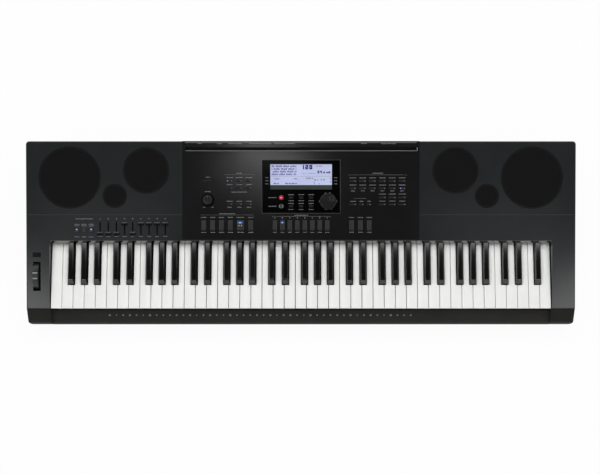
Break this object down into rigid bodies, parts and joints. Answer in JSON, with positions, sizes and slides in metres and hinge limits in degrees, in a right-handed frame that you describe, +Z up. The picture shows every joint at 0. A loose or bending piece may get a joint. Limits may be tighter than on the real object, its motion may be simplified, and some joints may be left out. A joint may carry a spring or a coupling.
{
  "type": "arranger keyboard",
  "caption": "Electronic arranger keyboard with sprung piano keys, sloping control deck, sliders, buttons, dial, pitch wheel, built-in speakers and rear sockets.",
  "frame": {"origin": "on the table under the middle of the body", "axes": "+X along the keys to the player's right, +Y to the rear, +Z up"},
  "size_m": [1.158, 0.384, 0.122],
  "materials": {
    "case": "fine satin texture, charcoal",
    "panel": "polished black",
    "screen": "lit pale blue screen behind glass",
    "board": "green circuit board",
    "bed": "grey moulded frame",
    "felt": "red felt strip",
    "contact": "grey silicone rubber",
    "grille": "black perforated sheet",
    "basket": "pressed basket and magnet",
    "cone": "black paper cone",
    "port": "black moulded tube",
    "socket": "black moulded sockets",
    "foot": "black rubber",
    "screw": "plain steel",
    "natural": "glossy white",
    "sharp": "glossy black",
    "cap": "satin dark grey caps",
    "record_cap": "red cap",
    "knob": "satin black",
    "wheel": "dark moulded thumb wheel"
  },
  "bodies": {
    "body": {"lower_case": "case", "upper_case": "case", "control_panel": "panel", "music_rest_channel": "port", "display_window": "panel", "lcd_module": "screen", "panel_board": "board", "slider_board": "board", "main_board": "board", "keybed_frame": "bed", "key_stop_felts": "felt", "contact_board": "board", "contact_rubber": "contact", "speaker_grilles": "grille", "woofers": "basket", "woofer_cones": "cone", "tweeters": "basket", "bass_ports": "port", "rear_sockets": "socket", "wheel_bracket": "port", "rubber_feet": "foot", "case_screws": "screw"},
    "mode_buttons": {"mode_buttons": "cap"},
    "modulation_button": {"modulation_button": "cap"},
    "power_button": {"power_button": "cap"},
    "rhythm_buttons": {"rhythm_buttons": "cap"},
    "tempo_buttons": {"tempo_buttons": "cap"},
    "accompaniment_buttons": {"accompaniment_buttons": "cap"},
    "registration_buttons": {"registration_buttons": "cap"},
    "split_buttons": {"split_buttons": "cap"},
    "tone_buttons": {"tone_buttons": "cap"},
    "function_buttons": {"function_buttons": "cap"},
    "cursor_buttons": {"cursor_buttons": "cap"},
    "recorder_button": {"recorder_button": "record_cap"},
    "sampling_button": {"sampling_button": "cap"},
    "slider_1": {"slider_1": "knob"},
    "slider_2": {"slider_2": "knob"},
    "slider_3": {"slider_3": "knob"},
    "slider_4": {"slider_4": "knob"},
    "slider_5": {"slider_5": "knob"},
    "slider_6": {"slider_6": "knob"},
    "slider_7": {"slider_7": "knob"},
    "slider_8": {"slider_8": "knob"},
    "slider_9": {"slider_9": "knob"},
    "volume_knob": {"volume_knob": "knob"},
    "data_dial": {"data_dial": "knob"},
    "mic_level_knob": {"mic_level_knob": "knob"},
    "pitch_wheel": {"pitch_wheel": "wheel"},
    "c_keys": {"c_keys": "natural"},
    "d_keys": {"d_keys": "natural"},
    "e_keys": {"e_keys": "natural"},
    "f_keys": {"f_keys": "natural"},
    "g_keys": {"g_keys": "natural"},
    "a_keys": {"a_keys": "natural"},
    "b_keys": {"b_keys": "natural"},
    "c_sharp_keys": {"c_sharp_keys": "sharp"},
    "d_sharp_keys": {"d_sharp_keys": "sharp"},
    "f_sharp_keys": {"f_sharp_keys": "sharp"},
    "g_sharp_keys": {"g_sharp_keys": "sharp"},
    "a_sharp_keys": {"a_sharp_keys": "sharp"}
  },
  "joints": [
    {"name": "c_keys_press", "type": "hinge", "parent": "body", "child": "c_keys", "pos_m": [0, 0.0418, 0.05604], "axis": [1, 0, 0], "range_deg": [0, 2.84], "stiffness_Nm_per_rad": 4.5, "springref_deg": -11.46},
    {"name": "d_keys_press", "type": "hinge", "parent": "body", "child": "d_keys", "pos_m": [0, 0.0418, 0.05604], "axis": [1, 0, 0], "range_deg": [0, 2.84], "stiffness_Nm_per_rad": 4.5, "springref_deg": -11.46},
    {"name": "e_keys_press", "type": "hinge", "parent": "body", "child": "e_keys", "pos_m": [0, 0.0418, 0.05604], "axis": [1, 0, 0], "range_deg": [0, 2.84], "stiffness_Nm_per_rad": 4.5, "springref_deg": -11.46},
    {"name": "f_keys_press", "type": "hinge", "parent": "body", "child": "f_keys", "pos_m": [0, 0.0418, 0.05604], "axis": [1, 0, 0], "range_deg": [0, 2.84], "stiffness_Nm_per_rad": 4.5, "springref_deg": -11.46},
    {"name": "g_keys_press", "type": "hinge", "parent": "body", "child": "g_keys", "pos_m": [0, 0.0418, 0.05604], "axis": [1, 0, 0], "range_deg": [0, 2.84], "stiffness_Nm_per_rad": 4.5, "springref_deg": -11.46},
    {"name": "a_keys_press", "type": "hinge", "parent": "body", "child": "a_keys", "pos_m": [0, 0.0418, 0.05604], "axis": [1, 0, 0], "range_deg": [0, 2.84], "stiffness_Nm_per_rad": 4.5, "springref_deg": -11.46},
    {"name": "b_keys_press", "type": "hinge", "parent": "body", "child": "b_keys", "pos_m": [0, 0.0418, 0.05604], "axis": [1, 0, 0], "range_deg": [0, 2.84], "stiffness_Nm_per_rad": 4.5, "springref_deg": -11.46},
    {"name": "c_sharp_keys_press", "type": "hinge", "parent": "body", "child": "c_sharp_keys", "pos_m": [0, 0.0418, 0.05604], "axis": [1, 0, 0], "range_deg": [0, 2.84], "stiffness_Nm_per_rad": 4.5, "springref_deg": -11.46},
    {"name": "d_sharp_keys_press", "type": "hinge", "parent": "body", "child": "d_sharp_keys", "pos_m": [0, 0.0418, 0.05604], "axis": [1, 0, 0], "range_deg": [0, 2.84], "stiffness_Nm_per_rad": 4.5, "springref_deg": -11.46},
    {"name": "f_sharp_keys_press", "type": "hinge", "parent": "body", "child": "f_sharp_keys", "pos_m": [0, 0.0418, 0.05604], "axis": [1, 0, 0], "range_deg": [0, 2.84], "stiffness_Nm_per_rad": 4.5, "springref_deg": -11.46},
    {"name": "g_sharp_keys_press", "type": "hinge", "parent": "body", "child": "g_sharp_keys", "pos_m": [0, 0.0418, 0.05604], "axis": [1, 0, 0], "range_deg": [0, 2.84], "stiffness_Nm_per_rad": 4.5, "springref_deg": -11.46},
    {"name": "a_sharp_keys_press", "type": "hinge", "parent": "body", "child": "a_sharp_keys", "pos_m": [0, 0.0418, 0.05604], "axis": [1, 0, 0], "range_deg": [0, 2.84], "stiffness_Nm_per_rad": 4.5, "springref_deg": -11.46},
    {"name": "mode_buttons_travel", "type": "slide", "parent": "body", "child": "mode_buttons", "axis": [0, 0.1386, -0.9903], "range_m": [0, 0.001], "stiffness_N_per_m": 500, "springref_m": -0.001},
    {"name": "modulation_button_travel", "type": "slide", "parent": "body", "child": "modulation_button", "axis": [0, 0.1386, -0.9903], "range_m": [0, 0.001], "stiffness_N_per_m": 500, "springref_m": -0.001},
    {"name": "power_button_travel", "type": "slide", "parent": "body", "child": "power_button", "axis": [0, 0.1386, -0.9903], "range_m": [0, 0.001], "stiffness_N_per_m": 500, "springref_m": -0.001},
    {"name": "rhythm_buttons_travel", "type": "slide", "parent": "body", "child": "rhythm_buttons", "axis": [0, 0.1386, -0.9903], "range_m": [0, 0.001], "stiffness_N_per_m": 500, "springref_m": -0.001},
    {"name": "tempo_buttons_travel", "type": "slide", "parent": "body", "child": "tempo_buttons", "axis": [0, 0.1386, -0.9903], "range_m": [0, 0.001], "stiffness_N_per_m": 500, "springref_m": -0.001},
    {"name": "accompaniment_buttons_travel", "type": "slide", "parent": "body", "child": "accompaniment_buttons", "axis": [0, 0.1386, -0.9903], "range_m": [0, 0.001], "stiffness_N_per_m": 500, "springref_m": -0.001},
    {"name": "registration_buttons_travel", "type": "slide", "parent": "body", "child": "registration_buttons", "axis": [0, 0.1386, -0.9903], "range_m": [0, 0.001], "stiffness_N_per_m": 500, "springref_m": -0.001},
    {"name": "split_buttons_travel", "type": "slide", "parent": "body", "child": "split_buttons", "axis": [0, 0.1386, -0.9903], "range_m": [0, 0.001], "stiffness_N_per_m": 500, "springref_m": -0.001},
    {"name": "tone_buttons_travel", "type": "slide", "parent": "body", "child": "tone_buttons", "axis": [0, 0.1386, -0.9903], "range_m": [0, 0.001], "stiffness_N_per_m": 500, "springref_m": -0.001},
    {"name": "function_buttons_travel", "type": "slide", "parent": "body", "child": "function_buttons", "axis": [0, 0.1386, -0.9903], "range_m": [0, 0.001], "stiffness_N_per_m": 500, "springref_m": -0.001},
    {"name": "cursor_buttons_travel", "type": "slide", "parent": "body", "child": "cursor_buttons", "axis": [0, 0.1386, -0.9903], "range_m": [0, 0.001], "stiffness_N_per_m": 500, "springref_m": -0.001},
    {"name": "recorder_button_travel", "type": "slide", "parent": "body", "child": "recorder_button", "axis": [0, 0.1386, -0.9903], "range_m": [0, 0.001], "stiffness_N_per_m": 500, "springref_m": -0.001},
    {"name": "sampling_button_travel", "type": "slide", "parent": "body", "child": "sampling_button", "axis": [0, 0.1386, -0.9903], "range_m": [0, 0.001], "stiffness_N_per_m": 500, "springref_m": -0.001},
    {"name": "slider_1_travel", "type": "slide", "parent": "body", "child": "slider_1", "axis": [0, 0.9903, 0.1386], "range_m": [0, 0.0206]},
    {"name": "slider_2_travel", "type": "slide", "parent": "body", "child": "slider_2", "axis": [0, 0.9903, 0.1386], "range_m": [0, 0.0206]},
    {"name": "slider_3_travel", "type": "slide", "parent": "body", "child": "slider_3", "axis": [0, 0.9903, 0.1386], "range_m": [0, 0.0206]},
    {"name": "slider_4_travel", "type": "slide", "parent": "body", "child": "slider_4", "axis": [0, 0.9903, 0.1386], "range_m": [-0.0206, 0]},
    {"name": "slider_5_travel", "type": "slide", "parent": "body", "child": "slider_5", "axis": [0, 0.9903, 0.1386], "range_m": [0, 0.0206]},
    {"name": "slider_6_travel", "type": "slide", "parent": "body", "child": "slider_6", "axis": [0, 0.9903, 0.1386], "range_m": [-0.0206, 0]},
    {"name": "slider_7_travel", "type": "slide", "parent": "body", "child": "slider_7", "axis": [0, 0.9903, 0.1386], "range_m": [-0.0206, 0]},
    {"name": "slider_8_travel", "type": "slide", "parent": "body", "child": "slider_8", "axis": [0, 0.9903, 0.1386], "range_m": [-0.0206, 0]},
    {"name": "slider_9_travel", "type": "slide", "parent": "body", "child": "slider_9", "axis": [0, 0.9903, 0.1386], "range_m": [-0.0206, 0]},
    {"name": "volume_knob_turn", "type": "hinge", "parent": "body", "child": "volume_knob", "pos_m": [-0.1957, 0.06668, 0.10487], "axis": [0, -0.1386, 0.9903], "range_deg": [-150, 150]},
    {"name": "data_dial_turn", "type": "hinge", "parent": "body", "child": "data_dial", "pos_m": [0.0572, 0.06371, 0.10446], "axis": [0, -0.1386, 0.9903], "continuous": true},
    {"name": "mic_level_knob_turn", "type": "hinge", "parent": "body", "child": "mic_level_knob", "pos_m": [0.2014, 0.189, 0.033], "axis": [0, 1, 0], "range_deg": [-140, 140]},
    {"name": "pitch_wheel_turn", "type": "hinge", "parent": "body", "child": "pitch_wheel", "pos_m": [-0.558, -0.09082, 0.06505], "axis": [1, 0, 0], "range_deg": [-35, 35], "stiffness_Nm_per_rad": 0.1}
  ]
}
